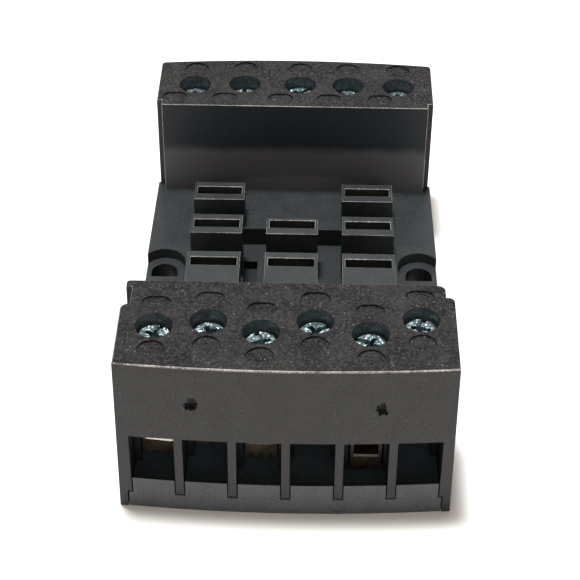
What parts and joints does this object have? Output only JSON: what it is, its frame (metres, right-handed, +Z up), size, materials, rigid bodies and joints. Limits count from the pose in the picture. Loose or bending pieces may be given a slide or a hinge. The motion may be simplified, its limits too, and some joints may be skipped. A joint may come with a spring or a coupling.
{
  "type": "plug-in relay socket",
  "caption": "Low black socket with two raised screw-terminal blocks and a sunken middle deck of slotted towers where a square plug-in relay seats.",
  "frame": {"origin": "middle of the footprint, on the underside", "axes": "+X to the right and +Y away from the reader when the six-terminal block is nearest, +Z up towards the relay"},
  "size_m": [0.0398, 0.067, 0.0229],
  "materials": {
    "housing": "black spark-textured moulding",
    "base": "dark grey satin moulding",
    "latch": "black satin moulding",
    "screw": "bright zinc plate",
    "cage": "nickel plate with a copper tint",
    "contact": "plain brass strip"
  },
  "bodies": {
    "socket": {"housing": "housing", "base_cover": "base", "contact_front_1": "contact", "contact_front_2": "contact", "contact_front_3": "contact", "contact_front_4": "contact", "contact_front_5": "contact", "contact_front_6": "contact", "contact_rear_1": "contact", "contact_rear_2": "contact", "contact_rear_3": "contact", "contact_rear_4": "contact", "contact_rear_5": "contact"},
    "rail_latch": {"rail_latch": "latch"},
    "screw_front_1": {"screw_front_1": "screw"},
    "cage_front_1": {"cage_front_1": "cage"},
    "screw_front_2": {"screw_front_2": "screw"},
    "cage_front_2": {"cage_front_2": "cage"},
    "screw_front_3": {"screw_front_3": "screw"},
    "cage_front_3": {"cage_front_3": "cage"},
    "screw_front_4": {"screw_front_4": "screw"},
    "cage_front_4": {"cage_front_4": "cage"},
    "screw_front_5": {"screw_front_5": "screw"},
    "cage_front_5": {"cage_front_5": "cage"},
    "screw_front_6": {"screw_front_6": "screw"},
    "cage_front_6": {"cage_front_6": "cage"},
    "screw_rear_1": {"screw_rear_1": "screw"},
    "cage_rear_1": {"cage_rear_1": "cage"},
    "screw_rear_2": {"screw_rear_2": "screw"},
    "cage_rear_2": {"cage_rear_2": "cage"},
    "screw_rear_3": {"screw_rear_3": "screw"},
    "cage_rear_3": {"cage_rear_3": "cage"},
    "screw_rear_4": {"screw_rear_4": "screw"},
    "cage_rear_4": {"cage_rear_4": "cage"},
    "screw_rear_5": {"screw_rear_5": "screw"},
    "cage_rear_5": {"cage_rear_5": "cage"}
  },
  "joints": [
    {"name": "latch_slide", "type": "slide", "parent": "socket", "child": "rail_latch", "axis": [0, 1, 0], "range_m": [0, 0.0025]},
    {"name": "turn_front_1", "type": "hinge", "parent": "socket", "child": "screw_front_1", "pos_m": [-0.01545, -0.02585, 0.0215], "axis": [0, 0, 1], "range_deg": [-360.1, 1440.1]},
    {"name": "rise_front_1", "type": "slide", "parent": "socket", "child": "cage_front_1", "axis": [0, 0, 1], "range_m": [-0.002, 0.0005]},
    {"name": "turn_front_2", "type": "hinge", "parent": "socket", "child": "screw_front_2", "pos_m": [-0.00915, -0.0249, 0.0212], "axis": [0, 0, 1], "range_deg": [-0.1, 1800.1]},
    {"name": "rise_front_2", "type": "slide", "parent": "socket", "child": "cage_front_2", "axis": [0, 0, 1], "range_m": [-0.0025, 0]},
    {"name": "turn_front_3", "type": "hinge", "parent": "socket", "child": "screw_front_3", "pos_m": [-0.003, -0.02665, 0.0214], "axis": [0, 0, 1], "range_deg": [-216.1, 1584.1]},
    {"name": "rise_front_3", "type": "slide", "parent": "socket", "child": "cage_front_3", "axis": [0, 0, 1], "range_m": [-0.0022, 0.0003]},
    {"name": "turn_front_4", "type": "hinge", "parent": "socket", "child": "screw_front_4", "pos_m": [0.00325, -0.0246, 0.0213], "axis": [0, 0, 1], "range_deg": [-0.1, 1800.1]},
    {"name": "rise_front_4", "type": "slide", "parent": "socket", "child": "cage_front_4", "axis": [0, 0, 1], "range_m": [-0.0025, 0]},
    {"name": "turn_front_5", "type": "hinge", "parent": "socket", "child": "screw_front_5", "pos_m": [0.00965, -0.02675, 0.02145], "axis": [0, 0, 1], "range_deg": [-1368.1, 432.1]},
    {"name": "rise_front_5", "type": "slide", "parent": "socket", "child": "cage_front_5", "axis": [0, 0, 1], "range_m": [-0.0006, 0.0019]},
    {"name": "turn_front_6", "type": "hinge", "parent": "socket", "child": "screw_front_6", "pos_m": [0.01555, -0.024, 0.02155], "axis": [0, 0, 1], "range_deg": [-0.1, 1800.1]},
    {"name": "rise_front_6", "type": "slide", "parent": "socket", "child": "cage_front_6", "axis": [0, 0, 1], "range_m": [-0.0025, 0]},
    {"name": "turn_rear_1", "type": "hinge", "parent": "socket", "child": "screw_rear_1", "pos_m": [-0.01405, 0.0267, 0.02075], "axis": [0, 0, 1], "range_deg": [-0.1, 1800.1]},
    {"name": "rise_rear_1", "type": "slide", "parent": "socket", "child": "cage_rear_1", "axis": [0, 0, 1], "range_m": [-0.0025, 0]},
    {"name": "turn_rear_2", "type": "hinge", "parent": "socket", "child": "screw_rear_2", "pos_m": [-0.0071, 0.0271, 0.0206], "axis": [0, 0, 1], "range_deg": [-0.1, 1800.1]},
    {"name": "rise_rear_2", "type": "slide", "parent": "socket", "child": "cage_rear_2", "axis": [0, 0, 1], "range_m": [-0.0025, 0]},
    {"name": "turn_rear_3", "type": "hinge", "parent": "socket", "child": "screw_rear_3", "pos_m": [0.00065, 0.027, 0.021], "axis": [0, 0, 1], "range_deg": [-0.1, 1800.1]},
    {"name": "rise_rear_3", "type": "slide", "parent": "socket", "child": "cage_rear_3", "axis": [0, 0, 1], "range_m": [-0.0025, 0]},
    {"name": "turn_rear_4", "type": "hinge", "parent": "socket", "child": "screw_rear_4", "pos_m": [0.00735, 0.027, 0.02055], "axis": [0, 0, 1], "range_deg": [-0.1, 1800.1]},
    {"name": "rise_rear_4", "type": "slide", "parent": "socket", "child": "cage_rear_4", "axis": [0, 0, 1], "range_m": [-0.0025, 0]},
    {"name": "turn_rear_5", "type": "hinge", "parent": "socket", "child": "screw_rear_5", "pos_m": [0.0144, 0.0268, 0.0207], "axis": [0, 0, 1], "range_deg": [-0.1, 1800.1]},
    {"name": "rise_rear_5", "type": "slide", "parent": "socket", "child": "cage_rear_5", "axis": [0, 0, 1], "range_m": [-0.0025, 0]}
  ],
  "couplings": [
    {"joint": "turn_front_1", "follows": "rise_front_1", "rad_per_m": -12566},
    {"joint": "turn_front_2", "follows": "rise_front_2", "rad_per_m": -12566},
    {"joint": "turn_front_3", "follows": "rise_front_3", "rad_per_m": -12566},
    {"joint": "turn_front_4", "follows": "rise_front_4", "rad_per_m": -12566},
    {"joint": "turn_front_5", "follows": "rise_front_5", "rad_per_m": -12566},
    {"joint": "turn_front_6", "follows": "rise_front_6", "rad_per_m": -12566},
    {"joint": "turn_rear_1", "follows": "rise_rear_1", "rad_per_m": -12566},
    {"joint": "turn_rear_2", "follows": "rise_rear_2", "rad_per_m": -12566},
    {"joint": "turn_rear_3", "follows": "rise_rear_3", "rad_per_m": -12566},
    {"joint": "turn_rear_4", "follows": "rise_rear_4", "rad_per_m": -12566},
    {"joint": "turn_rear_5", "follows": "rise_rear_5", "rad_per_m": -12566}
  ]
}
